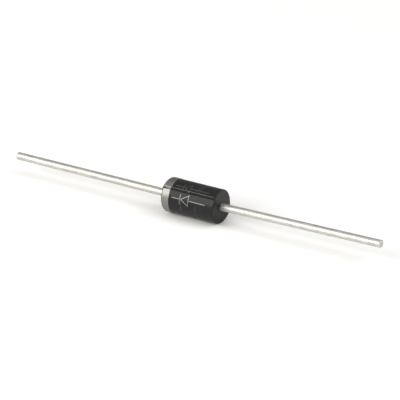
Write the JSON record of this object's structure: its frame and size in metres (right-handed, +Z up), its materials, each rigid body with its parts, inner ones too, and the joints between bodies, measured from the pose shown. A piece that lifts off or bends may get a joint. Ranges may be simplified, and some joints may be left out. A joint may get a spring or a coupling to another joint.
{
  "type": "axial rectifier diode",
  "caption": "Black moulded cylinder with a printed cathode band and a long tinned wire lead on each end.",
  "frame": {"origin": "centre of the moulded body, on the axis of the leads", "axes": "+X along the leads, from the banded cathode end to the anode end; +Z up"},
  "size_m": [0.0645, 0.0054, 0.0054],
  "materials": {
    "epoxy": "black moulding epoxy, satin gloss",
    "band_ink": "silver-grey printed ink",
    "tinned_wire": "matt tin plating on copper wire",
    "solder": "high-lead solder",
    "silicon": "polished silicon",
    "silicone": "cured silicone rubber"
  },
  "bodies": {
    "root": {"moulded_body": "epoxy", "cathode_band": "band_ink", "cathode_lead": "tinned_wire", "anode_lead": "tinned_wire", "cathode_solder": "solder", "anode_solder": "solder", "silicon_die": "silicon", "junction_coating": "silicone"}
  },
  "joints": []
}
